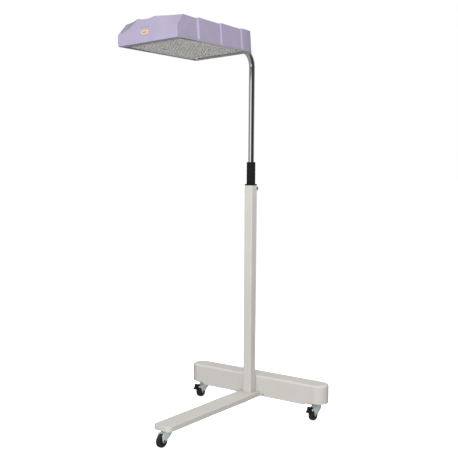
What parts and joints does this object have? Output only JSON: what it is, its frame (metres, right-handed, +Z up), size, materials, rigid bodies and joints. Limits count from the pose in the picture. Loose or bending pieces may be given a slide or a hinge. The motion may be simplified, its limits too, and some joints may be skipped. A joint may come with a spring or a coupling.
{
  "type": "mobile overhead treatment lamp",
  "caption": "Wide flat lamp hood with a square-cell grille, tilting on a bent chrome mast that slides and turns in a square column on a T-shaped castor base.",
  "frame": {"origin": "on the floor, below the middle of the whole lamp's bounding box", "axes": "+Z up; the front leg and the hood point along -Y; the crossbar lies along X"},
  "size_m": [0.714, 0.8076, 1.6313],
  "materials": {
    "stand_paint": "satin powder coat",
    "plain_steel": "mill finish",
    "cast_bar": "as cast",
    "bright_screw": "zinc plated",
    "black_moulding": "fine texture",
    "nylon": "smooth",
    "mast_chrome": "polished",
    "collar_steel": "turned",
    "lilac_moulding": "satin",
    "grille_grey": "satin",
    "reflector_sheet": "bright rolled",
    "lamp_glass": "phosphor coated",
    "lamp_plastic": "smooth",
    "ballast_case": "white enamel",
    "hub_casting": "machined casting",
    "lead_sheath": "smooth",
    "zinc_plate": "blue zinc plated",
    "castor_tyre": "smooth rubber",
    "wheel_centre": "smooth"
  },
  "bodies": {
    "base": {"base_leg": "stand_paint", "cross_beam": "plain_steel", "base_casing": "stand_paint", "casing_floor": "plain_steel", "casing_screws": "bright_screw", "castor_nuts": "bright_screw", "counterweights": "cast_bar", "column_tube": "stand_paint", "column_foot": "plain_steel", "foot_bolts": "bright_screw", "column_cap": "black_moulding", "upper_bush": "nylon", "lower_bush": "nylon", "clamp_nut": "bright_screw", "clamp_pad": "nylon", "castor_heads": "zinc_plate"},
    "clamp": {"clamp_stud": "bright_screw", "clamp_knob": "black_moulding"},
    "glide": {"glide_block": "nylon"},
    "mast": {"mast_tube": "mast_chrome", "mast_plug": "nylon", "mast_ring": "bright_screw", "arm_collar": "collar_steel"},
    "head": {"hood_shell": "lilac_moulding", "rear_panel": "stand_paint", "hood_screws": "bright_screw", "arm_grommet": "black_moulding", "grille": "grille_grey", "reflector": "reflector_sheet", "lamp_1": "lamp_glass", "lamp_2": "lamp_glass", "lamp_3": "lamp_glass", "lamp_4": "lamp_glass", "lamp_5": "lamp_glass", "lamp_6": "lamp_glass", "lamp_bases": "lamp_plastic", "lampholders": "lamp_plastic", "ballasts": "ballast_case", "spine_plate": "plain_steel", "tilt_hub": "hub_casting", "hub_bolts": "bright_screw", "mains_inlet": "black_moulding", "switch_frame": "black_moulding", "terminal_block": "lamp_plastic", "wiring_loom": "lead_sheath"},
    "rocker": {"rocker": "black_moulding"},
    "castor_front_swivel": {"castor_front_fork": "zinc_plate", "castor_front_axle": "bright_screw"},
    "castor_front_wheel": {"castor_front_tyre": "castor_tyre", "castor_front_hub": "wheel_centre"},
    "castor_rear_left_swivel": {"castor_rear_left_fork": "zinc_plate", "castor_rear_left_axle": "bright_screw"},
    "castor_rear_left_wheel": {"castor_rear_left_tyre": "castor_tyre", "castor_rear_left_hub": "wheel_centre"},
    "castor_rear_left_brake": {"castor_rear_left_pedal": "black_moulding"},
    "castor_rear_right_swivel": {"castor_rear_right_fork": "zinc_plate", "castor_rear_right_axle": "bright_screw"},
    "castor_rear_right_wheel": {"castor_rear_right_tyre": "castor_tyre", "castor_rear_right_hub": "wheel_centre"},
    "castor_rear_right_brake": {"castor_rear_right_pedal": "black_moulding"}
  },
  "joints": [
    {"name": "clamp_turn", "type": "hinge", "parent": "base", "child": "clamp", "pos_m": [0, 0.31595, 0.991], "axis": [0, 1, 0], "range_deg": [0, 540]},
    {"name": "mast_height", "type": "slide", "parent": "base", "child": "glide", "axis": [0, 0, 1], "range_m": [-0.35, 0.15]},
    {"name": "mast_swivel", "type": "hinge", "parent": "glide", "child": "mast", "pos_m": [0, 0.28595, 0.7], "axis": [0, 0, 1], "continuous": true},
    {"name": "head_tilt", "type": "hinge", "parent": "mast", "child": "head", "pos_m": [0, 0.06625, 1.581], "axis": [0, 1, 0], "range_deg": [-40, 45]},
    {"name": "power_rocker", "type": "hinge", "parent": "head", "child": "rocker", "pos_m": [-0.06194, 0.06425, 1.57819], "axis": [0.999, 0, 0.0454], "range_deg": [-16, 0]},
    {"name": "castor_front_turn", "type": "hinge", "parent": "base", "child": "castor_front_swivel", "pos_m": [0, -0.29105, 0.056], "axis": [0, 0, 1], "continuous": true},
    {"name": "castor_front_roll", "type": "hinge", "parent": "castor_front_swivel", "child": "castor_front_wheel", "pos_m": [0, -0.31805, 0.0255], "axis": [1, 0, 0], "continuous": true},
    {"name": "castor_rear_left_turn", "type": "hinge", "parent": "base", "child": "castor_rear_left_swivel", "pos_m": [-0.3045, 0.35645, 0.056], "axis": [0, 0, 1], "continuous": true},
    {"name": "castor_rear_left_roll", "type": "hinge", "parent": "castor_rear_left_swivel", "child": "castor_rear_left_wheel", "pos_m": [-0.3045, 0.32945, 0.0255], "axis": [1, 0, 0], "continuous": true},
    {"name": "castor_rear_left_press", "type": "hinge", "parent": "castor_rear_left_swivel", "child": "castor_rear_left_brake", "pos_m": [-0.3045, 0.30295, 0.052], "axis": [1, 0, 0], "range_deg": [0, 14]},
    {"name": "castor_rear_right_turn", "type": "hinge", "parent": "base", "child": "castor_rear_right_swivel", "pos_m": [0.3045, 0.35645, 0.056], "axis": [0, 0, 1], "continuous": true},
    {"name": "castor_rear_right_roll", "type": "hinge", "parent": "castor_rear_right_swivel", "child": "castor_rear_right_wheel", "pos_m": [0.3045, 0.32945, 0.0255], "axis": [1, 0, 0], "continuous": true},
    {"name": "castor_rear_right_press", "type": "hinge", "parent": "castor_rear_right_swivel", "child": "castor_rear_right_brake", "pos_m": [0.3045, 0.30295, 0.052], "axis": [1, 0, 0], "range_deg": [0, 14]}
  ]
}
